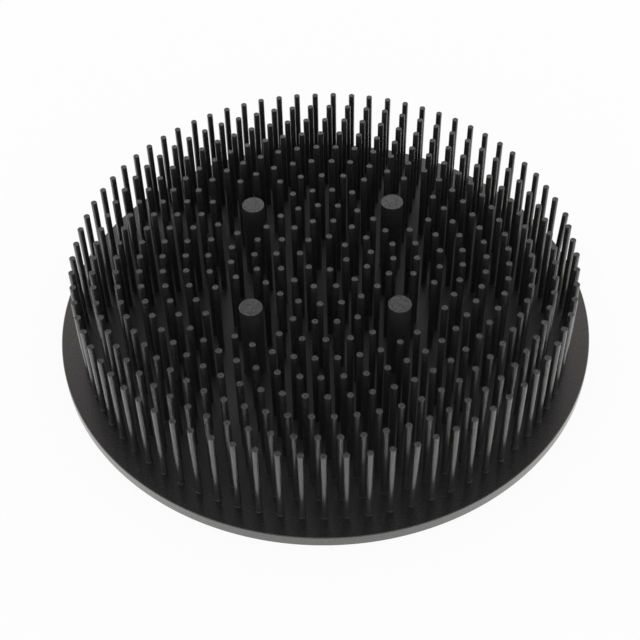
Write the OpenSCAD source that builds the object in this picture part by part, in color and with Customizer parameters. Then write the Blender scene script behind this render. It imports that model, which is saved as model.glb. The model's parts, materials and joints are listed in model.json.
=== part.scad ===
// Round pin fin heat sink, cold forged from aluminium in one piece.
// Rings of thin round pins and four thicker posts stand on a flat disc.
// The underside lies on Z = 0, with the origin at the centre of the disc,
// and the pattern of pins is the same on both sides of the X axis.

/* [Base] */
// Diameter of the round base
base_diameter = 240; // [200:1:300]
// Thickness of the base
base_thickness = 5.5; // [3:0.5:12]
// Edge break on both corners of the rim
rim_chamfer = 0.3; // [0.1:0.1:1]

/* [Pins] */
// Diameter of a pin
pin_diameter = 2.8; // [2:0.1:4]
// Height of the pins and the posts above the base
pin_height = 41; // [15:1:80]
// Edge break round the top of each pin and post
tip_chamfer = 0.2; // [0.1:0.05:0.5]
// Flare round the foot of each pin and post
root_flare = 0.5; // [0.1:0.1:1]

/* [Rings of pins] */
// Number of rings
ring_count = 11; // [8:1:13]
// Pins that each ring has more than the ring inside it
ring_step = 7; // [5:1:8]
// Ring that is divided by quarters instead, to open evenly at the posts
quartered_ring = 5; // [3:1:8]
// Pins in that ring
quartered_ring_pins = 32; // [20:4:36]
// Radius of the innermost ring
first_ring_radius = 10.5; // [8:0.5:14]
// Distance between the two outermost rings
outer_ring_spacing = 9; // [6:0.5:12]
// Bare rim, from the centres of the outermost pins to the edge of the base
rim_width = 10.5; // [5:0.5:20]

/* [Posts] */
// Diameter of a post
post_diameter = 10; // [6:0.5:14]
// Side of the square that the four posts stand on, centre to centre
post_square = 62.8; // [50:0.2:80]
// Bare patch at each post, from the side of the post to the nearest pin centres
post_clearance = 8.9; // [5:0.1:12]
// Shift of the bare patch from its post, away from the centre of the base
clearance_shift = 2.9; // [0:0.1:4]

/* [Hidden] */

$fn = 48;
rim_facets = 240;

// Rings that are turned by half the spacing of their pins
turned_rings = [1, 3, 4, 7, 9, 11];

base_radius = base_diameter / 2;
outer_ring_radius = base_radius - rim_width;
last_inner_ring = ring_count - 1;
ring_pitch = (outer_ring_radius - outer_ring_spacing - first_ring_radius) / (last_inner_ring - 1);

// Pins and posts reach this far down into the base, to be one solid with it
root_depth = base_thickness / 2;

post_ring_radius = post_square / sqrt(2);
post_angles = [45 : 90 : 315];
patch_radius = post_diameter / 2 + post_clearance;

function polar(radius, angle) = [radius * cos(angle), radius * sin(angle)];

function is_turned(ring) = len([for (turned = turned_rings) if (turned == ring) turned]) > 0;

function ring_radius(ring) =
    ring == ring_count ? outer_ring_radius : first_ring_radius + (ring - 1) * ring_pitch;

function ring_pins(ring) = ring == quartered_ring ? quartered_ring_pins : ring_step * ring;

function pin_angle(ring, index) = (index + (is_turned(ring) ? 0.5 : 0)) * 360 / ring_pins(ring);

post_places = [for (angle = post_angles) polar(post_ring_radius, angle)];
patch_places = [for (angle = post_angles) polar(post_ring_radius + clearance_shift, angle)];

function is_in_patch(place) = min([for (patch = patch_places) norm(place - patch)]) < patch_radius;

pin_places = [
    for (ring = [1 : ring_count])
        for (index = [0 : ring_pins(ring) - 1])
            let (place = polar(ring_radius(ring), pin_angle(ring, index)))
                if (!is_in_patch(place)) place
];

// Flat disc with its rim turned square
module base_disc() {
    rotate_extrude($fn = rim_facets)
        polygon([
            [0, 0],
            [base_radius - rim_chamfer, 0],
            [base_radius, rim_chamfer],
            [base_radius, base_thickness - rim_chamfer],
            [base_radius - rim_chamfer, base_thickness],
            [0, base_thickness]
        ]);
}

// Straight round pin or post, with a flared foot and a flat top
module pin(diameter) {
    radius = diameter / 2;
    rotate_extrude()
        polygon([
            [0, -root_depth],
            [radius + root_flare, -root_depth],
            [radius + root_flare, 0],
            [radius, root_flare],
            [radius, pin_height - tip_chamfer],
            [radius - tip_chamfer, pin_height],
            [0, pin_height]
        ]);
}

// Copies of one pin at a list of places on top of the base
module pins_at(places, diameter) {
    for (place = places)
        translate([place[0], place[1], base_thickness]) pin(diameter);
}

// The whole forging, black anodised
module heat_sink() {
    color("#242426") {
        base_disc();
        pins_at(pin_places, pin_diameter);
        pins_at(post_places, post_diameter);
    }
}

heat_sink();
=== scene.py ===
"""Round pin fin heat sink: the forging, its black anodised finish and a plain studio.

Run as a script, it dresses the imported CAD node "heat_sink". All lengths are in metres, in the
part's own frame: the underside lies on Z = 0 and the pins stand along +Z.
"""

import json
import math
import random

import bmesh
import bpy
from bpy.props import FloatProperty, FloatVectorProperty, IntProperty, PointerProperty
from mathutils import Euler, Matrix, Vector


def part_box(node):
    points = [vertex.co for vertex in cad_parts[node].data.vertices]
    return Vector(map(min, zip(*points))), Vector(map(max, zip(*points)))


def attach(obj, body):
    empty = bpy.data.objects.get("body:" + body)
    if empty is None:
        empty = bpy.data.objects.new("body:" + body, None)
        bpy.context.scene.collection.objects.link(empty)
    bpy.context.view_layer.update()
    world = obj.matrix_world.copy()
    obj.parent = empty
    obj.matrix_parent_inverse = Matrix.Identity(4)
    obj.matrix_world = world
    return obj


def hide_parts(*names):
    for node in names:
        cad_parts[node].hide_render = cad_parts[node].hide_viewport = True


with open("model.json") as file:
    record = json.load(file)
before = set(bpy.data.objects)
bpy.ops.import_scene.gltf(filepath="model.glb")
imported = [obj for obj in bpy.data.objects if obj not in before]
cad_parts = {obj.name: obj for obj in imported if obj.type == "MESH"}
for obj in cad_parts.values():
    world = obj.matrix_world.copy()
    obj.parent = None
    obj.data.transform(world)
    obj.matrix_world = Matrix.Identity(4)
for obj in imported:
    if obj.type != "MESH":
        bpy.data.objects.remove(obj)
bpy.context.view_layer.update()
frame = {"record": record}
NODE_LOW, NODE_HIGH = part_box("heat_sink")
MOUNTS = frame["record"]["mounts"]
POST_TOPS = [Vector(mount["pos_m"]) for mount in MOUNTS if mount["name"].startswith("post_top")]

bl_info = {
    "name": "Pin Fin Heat Sink",
    "version": (1, 0, 0),
    "blender": (4, 5, 0),
    "location": "View3D > Sidebar > Heat Sink",
    "description": "Builds a round forged pin fin heat sink with its anodised finish and a studio",
    "category": "Add Mesh",
}

NODE = "heat_sink"

# Rings that are turned by half the spacing of their pins
TURNED_RINGS = (1, 3, 4, 7, 9, 11)

# Pins that were knocked out of line in handling, by ring and place in the ring, and how far the
# tip of each has moved along X and Y
BENT_PINS = {
    (11, 2): (0.0012, -0.0013),
    (11, 61): (0.0011, -0.0004),
}

# Flat sides that stand for each round shape
RIM_SIDES = 256
PIN_SIDES = 16
POST_SIDES = 48

# Faces that meet at a wider angle than this keep a crisp edge
CREASE = math.radians(35)

# Places in a piece's list of materials, in which 0 is the flange of the base or the side of a shaft
RIM_MATERIAL = 1
UNDERSIDE_MATERIAL = 2
TIP_MATERIAL = 1

# Seed of the draw that leans the pins, and the most that a tip may stand out of line by it, as a
# multiple of the tip scatter
SCATTER_SEED = 11
SCATTER_LIMIT = 2.5

# Middle value of the gloss, and how much the roughness swings either way from grain to grain
MEAN_GLOSS = 0.5
ROUGHNESS_SWING = 0.06

# How closely the rise in gloss keeps to the edges of round shapes
EDGE_POWER = 3.0

# How much rougher the base is between the pins than round its rim
MIDDLE_DULLNESS = 0.12

# How far the feet of pins and posts reach down into the base, to leave no crack under them
FOOT_DEPTH = 0.0003

# The floor reaches far past the view, and lies just under the part, so that no two faces share a plane
FLOOR_RADIUS = 6.0
FLOOR_SIDES = 64
FLOOR_GAP = 0.0001


class HeatSinkSizes(bpy.types.PropertyGroup):
    """Lengths and counts of the forging"""

    base_diameter: FloatProperty(
        name="Base diameter",
        description="Diameter of the round base",
        default=NODE_HIGH.x - NODE_LOW.x,
        min=0.05,
        unit="LENGTH",
    )
    base_thickness: FloatProperty(
        name="Base thickness",
        description="Thickness of the round base",
        default=0.0055,
        min=0.001,
        unit="LENGTH",
    )
    overall_height: FloatProperty(
        name="Overall height",
        description="From the underside to the tips of the pins",
        default=NODE_HIGH.z - NODE_LOW.z,
        min=0.005,
        unit="LENGTH",
    )
    rim_chamfer: FloatProperty(
        name="Rim edge break",
        description="Edge break on both corners of the rim",
        default=0.0003,
        min=0.0,
        unit="LENGTH",
    )
    pin_diameter: FloatProperty(
        name="Pin diameter",
        description="Diameter of a pin",
        default=0.0028,
        min=0.0005,
        unit="LENGTH",
    )
    tip_chamfer: FloatProperty(
        name="Tip edge break",
        description="Edge break round the top of each pin and post",
        default=0.0002,
        min=0.0,
        unit="LENGTH",
    )
    root_flare: FloatProperty(
        name="Root flare",
        description="Height and width of the flare round the foot of each pin and post",
        default=0.0001,
        min=0.0,
        unit="LENGTH",
    )
    ring_count: IntProperty(
        name="Rings",
        description="Number of rings of pins",
        default=11,
        min=3,
    )
    ring_step: IntProperty(
        name="Pins added per ring",
        description="Pins that each ring has more than the ring inside it",
        default=7,
        min=3,
    )
    quartered_ring: IntProperty(
        name="Quartered ring",
        description="Ring that is divided by quarters instead, to open evenly at the posts",
        default=5,
        min=1,
    )
    quartered_ring_pins: IntProperty(
        name="Pins in the quartered ring",
        description="Number of places in the quartered ring",
        default=32,
        min=4,
        step=4,
    )
    first_ring_radius: FloatProperty(
        name="First ring radius",
        description="Radius of the innermost ring",
        default=0.0105,
        min=0.001,
        unit="LENGTH",
    )
    outer_ring_spacing: FloatProperty(
        name="Outer ring spacing",
        description="Distance between the two outermost rings",
        default=0.009,
        min=0.001,
        unit="LENGTH",
    )
    rim_width: FloatProperty(
        name="Bare rim",
        description="From the centres of the outermost pins to the edge of the base",
        default=0.0105,
        min=0.001,
        unit="LENGTH",
    )
    post_diameter: FloatProperty(
        name="Post diameter",
        description="Diameter of a post",
        default=0.010,
        min=0.001,
        unit="LENGTH",
    )
    post_clearance: FloatProperty(
        name="Bare patch at a post",
        description="Width of the band round a post in which no pin has its centre",
        default=0.0089,
        min=0.0,
        unit="LENGTH",
    )
    clearance_shift: FloatProperty(
        name="Shift of the bare patch",
        description="How far the middle of the bare patch lies outward of its post",
        default=0.0029,
        min=0.0,
        unit="LENGTH",
    )
    tip_scatter: FloatProperty(
        name="Tip scatter",
        description="How far the tip of a forged pin typically stands out of line along each axis",
        default=0.00012,
        min=0.0,
        unit="LENGTH",
    )


class HeatSinkFinish(bpy.types.PropertyGroup):
    """Colour and grain of the anodised skin"""

    dye_colour: FloatVectorProperty(
        name="Dye colour",
        description="Colour of the skin where it took the black dye well",
        default=(0.0035, 0.0035, 0.0037),
        min=0.0,
        max=1.0,
        subtype="COLOR",
    )
    # The lighter colour: a little of it is dye that took less well at random, and on the shafts a large
    # share of it is a painted lift of light
    thin_dye_and_lift_colour: FloatVectorProperty(
        name="Thin dye colour",
        description="Colour of the skin where it took a little less dye",
        default=(0.0370, 0.0365, 0.0360),
        min=0.0,
        max=1.0,
        subtype="COLOR",
    )
    grain: FloatProperty(
        name="Etch grain",
        description="Size of the fine grain that etching leaves in the metal",
        default=0.00045,
        min=0.00005,
        unit="LENGTH",
    )
    unevenness: FloatProperty(
        name="Uneven gloss",
        description="How much the gloss differs from grain to grain",
        default=0.36,
        min=0.0,
        max=0.5,
        subtype="FACTOR",
    )


class HeatSinkStudio(bpy.types.PropertyGroup):
    """Camera, surroundings and floor"""

    camera_azimuth: FloatProperty(
        name="Camera azimuth",
        description="Angle of the camera round the heat sink, from the front",
        default=math.radians(-0.08),
        subtype="ANGLE",
    )
    camera_elevation: FloatProperty(
        name="Camera elevation",
        description="Angle of the camera above the floor",
        default=math.radians(47.94),
        subtype="ANGLE",
    )
    camera_roll: FloatProperty(
        name="Camera roll",
        description="Tilt of the camera about its own line of sight",
        default=math.radians(-1.19),
        subtype="ANGLE",
    )
    camera_distance: FloatProperty(
        name="Camera distance",
        description="Distance from the camera to the point that it looks at",
        default=0.5823,
        unit="LENGTH",
    )
    camera_drop: FloatProperty(
        name="Camera drop",
        description="How far the line of sight passes below the middle of the pin tips",
        default=0.0295,
        unit="LENGTH",
    )
    camera_side: FloatProperty(
        name="Camera side step",
        description="How far the line of sight passes to the left of the middle of the pin tips",
        default=0.0017,
        unit="LENGTH",
    )
    lens: FloatProperty(
        name="Lens",
        description="Focal length on a sensor 36 mm wide, in millimetres",
        default=75.1,
        min=10.0,
    )
    floor_colour: FloatVectorProperty(
        name="Floor colour",
        description="Colour of the plain pale floor",
        default=(0.9, 0.9, 0.9),
        min=0.0,
        max=1.0,
        subtype="COLOR",
    )
    bright_below: FloatProperty(
        name="Bright below",
        description="Height above the horizon up to which the surroundings are white",
        default=math.radians(38.4),
        subtype="ANGLE",
    )
    dimming: FloatProperty(
        name="Dimming",
        description="How fast the surroundings grow dimmer above that height",
        default=4.6,
        min=0.0,
    )
    soft_light: FloatProperty(
        name="Soft light",
        description="Share that the surroundings gain as light on dull surfaces",
        default=0.8,
        min=0.0,
    )
    floor_glow: FloatProperty(
        name="Floor glow",
        description="Share of white that the floor shows to the camera and in reflections",
        default=0.92,
        min=0.0,
        max=1.0,
        subtype="FACTOR",
    )


# ---------------------------------------------------------------------------
# Layout of the pins


def polar(radius, angle):
    """Point at this radius and angle, on the level of the origin."""
    return Vector((radius * math.cos(angle), radius * math.sin(angle), 0.0))


def ring_radius(sizes, ring):
    """Radius of a ring, counted from 1 at the centre."""
    outermost = sizes.base_diameter / 2 - sizes.rim_width
    if ring == sizes.ring_count:
        return outermost
    pitch = (outermost - sizes.outer_ring_spacing - sizes.first_ring_radius) / (sizes.ring_count - 2)
    return sizes.first_ring_radius + (ring - 1) * pitch


def ring_pins(sizes, ring):
    """Number of places in a ring."""
    return sizes.quartered_ring_pins if ring == sizes.quartered_ring else sizes.ring_step * ring


def post_places():
    """Centres of the posts, on the level of the origin."""
    return [Vector((top.x, top.y, 0.0)) for top in POST_TOPS]


def pin_places(sizes):
    """Every pin as (ring, place in the ring, centre), without those in the bare patches at the posts."""
    patches = [post + post.normalized() * sizes.clearance_shift for post in post_places()]
    patch_radius = sizes.post_diameter / 2 + sizes.post_clearance
    places = []
    for ring in range(1, sizes.ring_count + 1):
        count = ring_pins(sizes, ring)
        turn = 0.5 if ring in TURNED_RINGS else 0.0
        for index in range(count):
            centre = polar(ring_radius(sizes, ring), (index + turn) * math.tau / count)
            if min((centre - patch).length for patch in patches) > patch_radius:
                places.append((ring, index, centre))
    return places


# ---------------------------------------------------------------------------
# Meshes


def finished(name, bm, materials):
    """A finished mesh as a piece that rides on the part's body and stands for its CAD node."""
    bmesh.ops.recalc_face_normals(bm, faces=bm.faces)
    for edge in bm.edges:
        edge.smooth = edge.calc_face_angle() < CREASE
    mesh = bpy.data.meshes.new(name)
    bm.to_mesh(mesh)
    bm.free()
    for material in materials:
        mesh.materials.append(material)
    piece = bpy.data.objects.new(name, mesh)
    bpy.context.scene.collection.objects.link(piece)
    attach(piece, "root")
    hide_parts(NODE)
    return piece


def shaft_outline(sizes, diameter):
    """Half section of a pin or post, from its buried foot up to its tip, as (radius, height) pairs."""
    radius = diameter / 2
    flare = sizes.root_flare
    top = sizes.overall_height
    floor = sizes.base_thickness
    return [
        (radius + flare + FOOT_DEPTH, floor - FOOT_DEPTH),
        (radius, floor + flare),
        (radius, top - sizes.tip_chamfer),
        (radius - sizes.tip_chamfer, top),
    ]


def shaft_mesh(sizes, diameter, sides):
    """A pin or post at the origin, spun from its half section and closed at both ends."""
    bm = bmesh.new()
    corners = [bm.verts.new((radius, 0.0, height)) for radius, height in shaft_outline(sizes, diameter)]
    edges = [bm.edges.new(pair) for pair in zip(corners, corners[1:])]
    bmesh.ops.spin(
        bm,
        geom=corners + edges,
        cent=(0.0, 0.0, 0.0),
        axis=(0.0, 0.0, 1.0),
        angle=math.tau,
        steps=sides,
        use_merge=True,
    )
    for face in bm.faces:
        face.smooth = True
    open_rims = [edge for edge in bm.edges if edge.is_boundary]
    ends = bmesh.ops.holes_fill(bm, edges=open_rims, sides=0)["faces"]
    for face in ends:
        face.smooth = False
        face.material_index = TIP_MATERIAL
    return bm


def scattered_tips(sizes, places):
    """How far each pin's tip stands out of line, the same on every run."""
    chance = random.Random(SCATTER_SEED)
    limit = SCATTER_LIMIT * sizes.tip_scatter
    offsets = []
    for ring, index, centre in places:
        drift = Vector((chance.gauss(0, sizes.tip_scatter), chance.gauss(0, sizes.tip_scatter), 0.0))
        if drift.length > limit:
            drift *= limit / drift.length
        bend = BENT_PINS.get((ring, index))
        offsets.append(Vector((*bend, 0.0)) if bend else drift)
    return offsets


def leaning(offset, height):
    """The turn that moves the tip of a shaft of this height by this offset."""
    if offset.length == 0:
        return Matrix.Identity(3)
    axis = Vector((0.0, 0.0, 1.0)).cross(offset)
    return Matrix.Rotation(math.atan2(offset.length, height), 3, axis)


def add_copies(bm, template, centres, offsets, foot, height):
    """Copies of a template mesh at each centre, each turned about its foot."""
    start = len(bm.verts)
    bm.from_mesh(template)
    bm.verts.ensure_lookup_table()
    originals = bm.verts[start:]
    source = originals + list({e for v in originals for e in v.link_edges})
    source += list({f for v in originals for f in v.link_faces})
    for centre, offset in zip(centres, offsets):
        copy = bmesh.ops.duplicate(bm, geom=source)["geom"]
        verts = [item for item in copy if isinstance(item, bmesh.types.BMVert)]
        bmesh.ops.rotate(bm, verts=verts, cent=(0.0, 0.0, foot), matrix=leaning(offset, height))
        bmesh.ops.translate(bm, verts=verts, vec=centre)
    bmesh.ops.delete(bm, geom=originals, context="VERTS")


def group_of_shafts(name, sizes, diameter, sides, centres, offsets, materials):
    """One piece that holds a group of equal pins or posts."""
    single = shaft_mesh(sizes, diameter, sides)
    template = bpy.data.meshes.new(name + "_template")
    single.to_mesh(template)
    single.free()
    bm = bmesh.new()
    height = sizes.overall_height - sizes.base_thickness
    add_copies(bm, template, centres, offsets, sizes.base_thickness, height)
    bpy.data.meshes.remove(template)
    return finished(name, bm, materials)


# ---------------------------------------------------------------------------
# Materials


class Nodes:
    """Short ways to add and join the nodes of one node tree, which starts empty."""

    def __init__(self, tree):
        self.tree = tree
        tree.nodes.clear()

    def fill(self, socket, value):
        """Joins a socket to another one, or gives it a value."""
        if isinstance(value, bpy.types.NodeSocket):
            self.tree.links.new(value, socket)
        else:
            socket.default_value = value

    def add(self, kind, **values):
        """A new node, with inputs filled by name: Scale=2.0 fills the input "Scale"."""
        node = self.tree.nodes.new(kind)
        for key, value in values.items():
            self.fill(node.inputs[key.replace("_", " ")], value)
        return node

    def maths(self, operation, *values):
        """A calculation on values, each a socket or a number."""
        node = self.tree.nodes.new("ShaderNodeMath")
        node.operation = operation
        for socket, value in zip(node.inputs, values):
            self.fill(socket, value)
        return node.outputs["Value"]

    def noise(self, point, size, detail=2.0, roughness=0.5):
        """Noise with features of about this size, in metres."""
        return self.add(
            "ShaderNodeTexNoise", Vector=point, Scale=1.0 / size, Detail=detail, Roughness=roughness
        ).outputs["Fac"]

    def spread(self, noise, low, high):
        """Noise, which mostly stays between 0.3 and 0.7, spread between low and high."""
        return self.add(
            "ShaderNodeMapRange", Value=noise, From_Min=0.3, From_Max=0.7, To_Min=low, To_Max=high
        ).outputs["Result"]

    def blend(self, factor, first, second):
        """One colour blending into another."""
        node = self.tree.nodes.new("ShaderNodeMix")
        node.data_type = "RGBA"
        self.fill(node.inputs["Factor"], factor)
        self.fill(node.inputs["A"], (*first, 1.0))
        self.fill(node.inputs["B"], (*second, 1.0))
        return node.outputs["Result"]

    def inside(self, point, inner, outer):
        """1 up to the inner distance from the origin, falling to 0 at the outer one."""
        length = self.tree.nodes.new("ShaderNodeVectorMath")
        length.operation = "LENGTH"
        self.fill(length.inputs[0], point)
        return self.add(
            "ShaderNodeMapRange",
            Value=length.outputs["Value"],
            From_Min=inner,
            From_Max=outer,
            To_Min=1.0,
            To_Max=0.0,
        ).outputs["Result"]

    def scaled(self, point, scale):
        """The same place, scaled along each axis: a small scale draws a pattern out along that axis."""
        return self.add("ShaderNodeMapping", Vector=point, Scale=scale).outputs["Vector"]

    def bump(self, height, depth, strength, under=None):
        """A bump from a height value, on top of another bump if one is given."""
        node = self.add("ShaderNodeBump", Height=height, Distance=depth, Strength=strength)
        if under is not None:
            self.fill(node.inputs["Normal"], under)
        return node.outputs["Normal"]


def anodised(
    name,
    finish,
    fade_and_lift_range,
    roughness,
    ior,
    patchy=1.0,
    rising=0.0,
    warmth=(1.0, 0.98, 0.97),
    marks=None,
    dull_within=None,
):
    """Dyed and anodised aluminium: a dark skin with an etched grain under a satin gloss.

    fade_and_lift_range is the least and most share of the lighter colour: dye that faded at random,
    and on the shafts a painted lift of light as well. patchy makes the grain stronger or weaker,
    rising lifts the gloss towards the edges of round shapes, warmth tints it, and marks adds tool
    marks to the grain. dull_within gives the radii between which a dull middle turns smooth.
    """
    material = bpy.data.materials.new(name)
    material.use_nodes = True
    nodes = Nodes(material.node_tree)
    point = nodes.add("ShaderNodeTexCoord").outputs["Object"]
    # Share of the lighter colour: dye that faded at random, and on the shafts a painted lift of light
    fade_and_lift = nodes.spread(nodes.noise(point, size=0.020, detail=3.0), *fade_and_lift_range)
    grain = nodes.noise(point, size=finish.grain, detail=3.0, roughness=0.6)
    normal = nodes.bump(grain, depth=0.00002, strength=0.4 * patchy)
    if marks:
        normal = marks(nodes, point, normal)
    swing = finish.unevenness * patchy
    gloss = nodes.spread(grain, MEAN_GLOSS - swing, MEAN_GLOSS + swing)
    if rising:
        facing = nodes.add("ShaderNodeLayerWeight", Blend=0.5).outputs["Facing"]
        edge = nodes.maths("POWER", facing, EDGE_POWER)
        gloss = nodes.maths("MULTIPLY_ADD", edge, rising, gloss)
    rough = nodes.spread(grain, roughness - ROUGHNESS_SWING, roughness + ROUGHNESS_SWING)
    if dull_within:
        rough = nodes.maths("MULTIPLY_ADD", nodes.inside(point, *dull_within), MIDDLE_DULLNESS, rough)
    skin = nodes.add(
        "ShaderNodeBsdfPrincipled",
        Base_Color=nodes.blend(fade_and_lift, finish.dye_colour, finish.thin_dye_and_lift_colour),
        Roughness=rough,
        IOR=ior,
        Specular_IOR_Level=gloss,
        Specular_Tint=(*warmth, 1.0),
        Normal=normal,
    )
    nodes.add("ShaderNodeOutputMaterial", Surface=skin.outputs["BSDF"])
    return material


def drawn_marks(nodes, point, normal):
    """Fine lines along the pins, left where the metal flowed through the die."""
    lines = nodes.noise(nodes.scaled(point, (1.0, 1.0, 0.02)), size=0.0003)
    return nodes.bump(lines, depth=0.00014, strength=1.0, under=normal)


def turned_marks(nodes, point, normal):
    """Fine rings round the axis, left by turning."""
    rings = nodes.add("ShaderNodeTexWave", Vector=point, Scale=400.0, Distortion=0.4, Detail=1.0)
    rings.wave_type = "RINGS"
    rings.rings_direction = "Z"
    return nodes.bump(rings.outputs["Fac"], depth=0.00002, strength=0.2, under=normal)


def milled_marks(nodes, point, normal):
    """Fine, slightly wandering lines across the tips, left by one cutter that trimmed them all."""
    lines = nodes.noise(nodes.scaled(point, (0.06, 1.0, 1.0)), size=0.0006)
    return nodes.bump(lines, depth=0.00003, strength=0.3, under=normal)


def flange_finish(sizes, finish):
    """Pressed top face of the base, warm in tone, and duller between the pins than round the rim."""
    inner = ring_radius(sizes, sizes.ring_count - 1)
    outer = ring_radius(sizes, sizes.ring_count)
    return anodised(
        "anodised_flange",
        finish,
        fade_and_lift_range=(0.0, 0.05),
        roughness=0.28,
        ior=2.01,
        patchy=0.3,
        warmth=(1.0, 0.955, 0.94),
        dull_within=(inner, outer),
    )


def rim_finish(finish):
    """Turned rim."""
    return anodised(
        "anodised_rim",
        finish,
        fade_and_lift_range=(0.0, 0.12),
        roughness=0.28,
        ior=1.78,
        patchy=0.7,
        rising=4.4,
        marks=turned_marks,
    )


def underside_finish(finish):
    """Faced underside."""
    return anodised(
        "anodised_underside",
        finish,
        fade_and_lift_range=(0.0, 0.12),
        roughness=0.26,
        ior=1.98,
        patchy=0.5,
        marks=turned_marks,
    )


def shaft_finish(finish):
    """Sides of the pins and posts: their skin is painted lighter than the rest, a painted lift of light on
    every shaft, with a tone that still differs at random.
    """
    return bpy.data.materials.get("anodised_shaft") or anodised(
        "anodised_shaft",
        finish,
        # Painted light: the share of the lighter colour starts at 0.35, a painted lift of light that
        # brightens every shaft; only the spread above it differs at random.
        fade_and_lift_range=(0.35, 0.6),
        roughness=0.20,
        ior=1.71,
        patchy=1.3,
        rising=2.6,
        marks=drawn_marks,
    )


def tip_finish(finish):
    """Flat ends of the pins and posts, trimmed to one height."""
    return bpy.data.materials.get("anodised_tip") or anodised(
        "anodised_tip",
        finish,
        fade_and_lift_range=(0.0, 0.12),
        roughness=0.30,
        ior=1.98,
        marks=milled_marks,
    )


# ---------------------------------------------------------------------------
# Stage


def floor_finish(studio):
    """Pale plain floor that shows white to the camera and in reflections, and keeps the shadow."""
    material = bpy.data.materials.new("studio_floor")
    material.use_nodes = True
    nodes = Nodes(material.node_tree)
    rays = nodes.add("ShaderNodeLightPath").outputs
    mirrored = nodes.maths("MAXIMUM", rays["Is Glossy Ray"], rays["Is Transmission Ray"])
    seen = nodes.maths("MAXIMUM", rays["Is Camera Ray"], mirrored)
    paper = nodes.add("ShaderNodeBsdfDiffuse", Color=(*studio.floor_colour, 1.0))
    white = nodes.add("ShaderNodeEmission", Color=(1.0, 1.0, 1.0, 1.0), Strength=1.0)
    mix = nodes.add("ShaderNodeMixShader", Fac=nodes.maths("MULTIPLY", seen, studio.floor_glow))
    nodes.fill(mix.inputs[1], paper.outputs["BSDF"])
    nodes.fill(mix.inputs[2], white.outputs["Emission"])
    nodes.add("ShaderNodeOutputMaterial", Surface=mix.outputs["Shader"])
    return material


def studio_world(studio):
    """White surroundings that grow dimmer overhead, and plain white where the camera sees them."""
    world = bpy.data.worlds.new("studio")
    world.use_nodes = True
    nodes = Nodes(world.node_tree)
    direction = nodes.add("ShaderNodeTexCoord").outputs["Generated"]
    height = nodes.add("ShaderNodeSeparateXYZ", Vector=direction).outputs["Z"]
    level = math.sin(studio.bright_below)
    share = nodes.maths("DIVIDE", level, nodes.maths("MAXIMUM", height, level))
    dimmed = nodes.maths("POWER", share, studio.dimming)
    rays = nodes.add("ShaderNodeLightPath").outputs
    seen = nodes.maths("MAXIMUM", dimmed, rays["Is Camera Ray"])
    lift = nodes.maths("MULTIPLY_ADD", rays["Is Diffuse Ray"], studio.soft_light, 1.0)
    strength = nodes.maths("MULTIPLY", seen, lift)
    light = nodes.add("ShaderNodeBackground", Color=(1.0, 1.0, 1.0, 1.0), Strength=strength)
    nodes.add("ShaderNodeOutputWorld", Surface=light.outputs["Background"])
    bpy.context.scene.world = world


def add_camera(studio):
    """Camera at its angle above the floor, with the line of sight passing beside the middle of the tips."""
    data = bpy.data.cameras.new("camera")
    data.sensor_fit = "HORIZONTAL"
    data.sensor_width = 36.0
    data.lens = studio.lens
    data.clip_start = 0.01
    data.clip_end = 50.0
    camera = bpy.data.objects.new("camera", data)
    tilt = Euler((math.pi / 2 - studio.camera_elevation, 0.0, studio.camera_azimuth)).to_matrix()
    turn = tilt @ Matrix.Rotation(studio.camera_roll, 3, "Z")
    middle = Vector(((NODE_LOW.x + NODE_HIGH.x) / 2, (NODE_LOW.y + NODE_HIGH.y) / 2, NODE_HIGH.z))
    step_back = Vector((-studio.camera_side, -studio.camera_drop, studio.camera_distance))
    camera.matrix_world = Matrix.Translation(middle + turn @ step_back) @ turn.to_4x4()
    bpy.context.scene.collection.objects.link(camera)
    bpy.context.scene.camera = camera


# ---------------------------------------------------------------------------
# Operators


class HEATSINK_OT_base(bpy.types.Operator):
    """Add the round base of the heat sink"""

    bl_idname = "heat_sink.base"
    bl_label = "Base"
    bl_options = {"REGISTER", "UNDO"}

    def execute(self, context):
        sizes = context.scene.heat_sink_sizes
        finish = context.scene.heat_sink_finish
        bm = bmesh.new()
        bmesh.ops.create_circle(bm, cap_ends=True, radius=sizes.base_diameter / 2, segments=RIM_SIDES)
        raised = bmesh.ops.extrude_face_region(bm, geom=list(bm.faces), use_keep_orig=True)["geom"]
        top = [item for item in raised if isinstance(item, bmesh.types.BMVert)]
        bmesh.ops.translate(bm, verts=top, vec=(0.0, 0.0, sizes.base_thickness))
        caps = [face for face in bm.faces if len(face.verts) == RIM_SIDES]
        corners = list({edge for face in caps for edge in face.edges})
        bmesh.ops.bevel(
            bm,
            geom=corners,
            affect="EDGES",
            offset=sizes.rim_chamfer,
            offset_type="OFFSET",
            segments=1,
            profile=0.5,
            material=-1,
        )
        for face in bm.faces:
            level = face.calc_center_median().z
            flat = len(face.verts) == RIM_SIDES
            face.smooth = not flat
            if not flat:
                face.material_index = RIM_MATERIAL
            elif level < sizes.base_thickness / 2:
                face.material_index = UNDERSIDE_MATERIAL
        finished("base", bm, [flange_finish(sizes, finish), rim_finish(finish), underside_finish(finish)])
        return {"FINISHED"}


class HEATSINK_OT_pins(bpy.types.Operator):
    """Add the rings of pins"""

    bl_idname = "heat_sink.pins"
    bl_label = "Pins"
    bl_options = {"REGISTER", "UNDO"}

    def execute(self, context):
        sizes = context.scene.heat_sink_sizes
        finish = context.scene.heat_sink_finish
        places = pin_places(sizes)
        centres = [centre for ring, index, centre in places]
        offsets = scattered_tips(sizes, places)
        materials = [shaft_finish(finish), tip_finish(finish)]
        group_of_shafts("pins", sizes, sizes.pin_diameter, PIN_SIDES, centres, offsets, materials)
        return {"FINISHED"}


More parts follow.
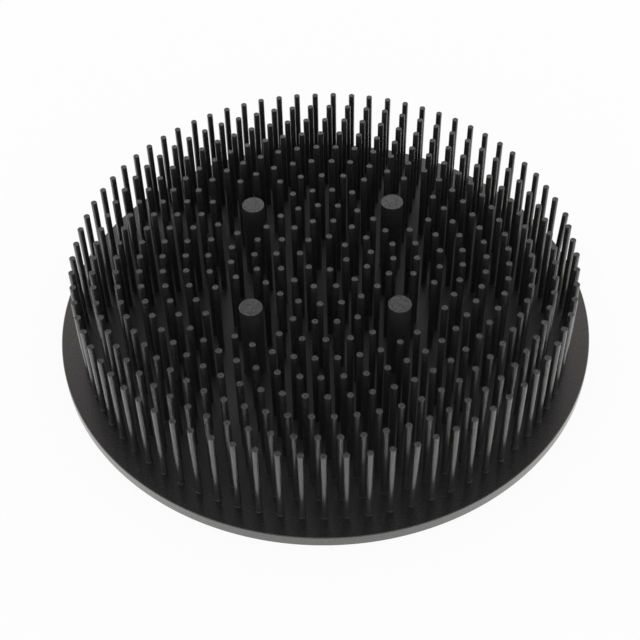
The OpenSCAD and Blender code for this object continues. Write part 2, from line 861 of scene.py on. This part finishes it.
class HEATSINK_OT_posts(bpy.types.Operator):
    """Add the four posts"""

    bl_idname = "heat_sink.posts"
    bl_label = "Posts"
    bl_options = {"REGISTER", "UNDO"}

    def execute(self, context):
        sizes = context.scene.heat_sink_sizes
        finish = context.scene.heat_sink_finish
        centres = post_places()
        upright = [Vector() for centre in centres]
        materials = [shaft_finish(finish), tip_finish(finish)]
        group_of_shafts("posts", sizes, sizes.post_diameter, POST_SIDES, centres, upright, materials)
        return {"FINISHED"}


class HEATSINK_OT_stage(bpy.types.Operator):
    """Add the floor, the surroundings and the camera"""

    bl_idname = "heat_sink.stage"
    bl_label = "Stage"
    bl_options = {"REGISTER", "UNDO"}

    def execute(self, context):
        studio = context.scene.heat_sink_studio
        bm = bmesh.new()
        bmesh.ops.create_circle(bm, cap_ends=True, radius=FLOOR_RADIUS, segments=FLOOR_SIDES)
        bmesh.ops.translate(bm, verts=bm.verts, vec=(0.0, 0.0, NODE_LOW.z - FLOOR_GAP))
        mesh = bpy.data.meshes.new("floor")
        bm.to_mesh(mesh)
        bm.free()
        mesh.materials.append(floor_finish(studio))
        floor = bpy.data.objects.new("floor", mesh)
        bpy.context.scene.collection.objects.link(floor)
        studio_world(studio)
        add_camera(studio)
        context.scene.view_settings.view_transform = "Standard"
        return {"FINISHED"}


class HEATSINK_PT_panel(bpy.types.Panel):
    """Sizes, finish, studio and the pieces to add"""

    bl_idname = "HEATSINK_PT_panel"
    bl_label = "Pin Fin Heat Sink"
    bl_space_type = "VIEW_3D"
    bl_region_type = "UI"
    bl_category = "Heat Sink"

    def draw(self, context):
        layout = self.layout
        for operator in OPERATORS:
            layout.operator(operator.bl_idname)
        for name, group in GROUPS.items():
            box = layout.box()
            for key in group.__annotations__:
                box.prop(getattr(context.scene, name), key)


OPERATORS = (HEATSINK_OT_base, HEATSINK_OT_pins, HEATSINK_OT_posts, HEATSINK_OT_stage)
GROUPS = {
    "heat_sink_sizes": HeatSinkSizes,
    "heat_sink_finish": HeatSinkFinish,
    "heat_sink_studio": HeatSinkStudio,
}


def register():
    """Adds the classes and their settings to Blender."""
    for cls in (*GROUPS.values(), *OPERATORS, HEATSINK_PT_panel):
        bpy.utils.register_class(cls)
    for name, group in GROUPS.items():
        setattr(bpy.types.Scene, name, PointerProperty(type=group))


def unregister():
    """Takes the classes and their settings out again."""
    for name in GROUPS:
        delattr(bpy.types.Scene, name)
    for cls in reversed((*GROUPS.values(), *OPERATORS, HEATSINK_PT_panel)):
        bpy.utils.unregister_class(cls)


def main():
    register()
    for operator in OPERATORS:
        group, action = operator.bl_idname.split(".")
        getattr(getattr(bpy.ops, group), action)()


if __name__ == "__main__":
    main()
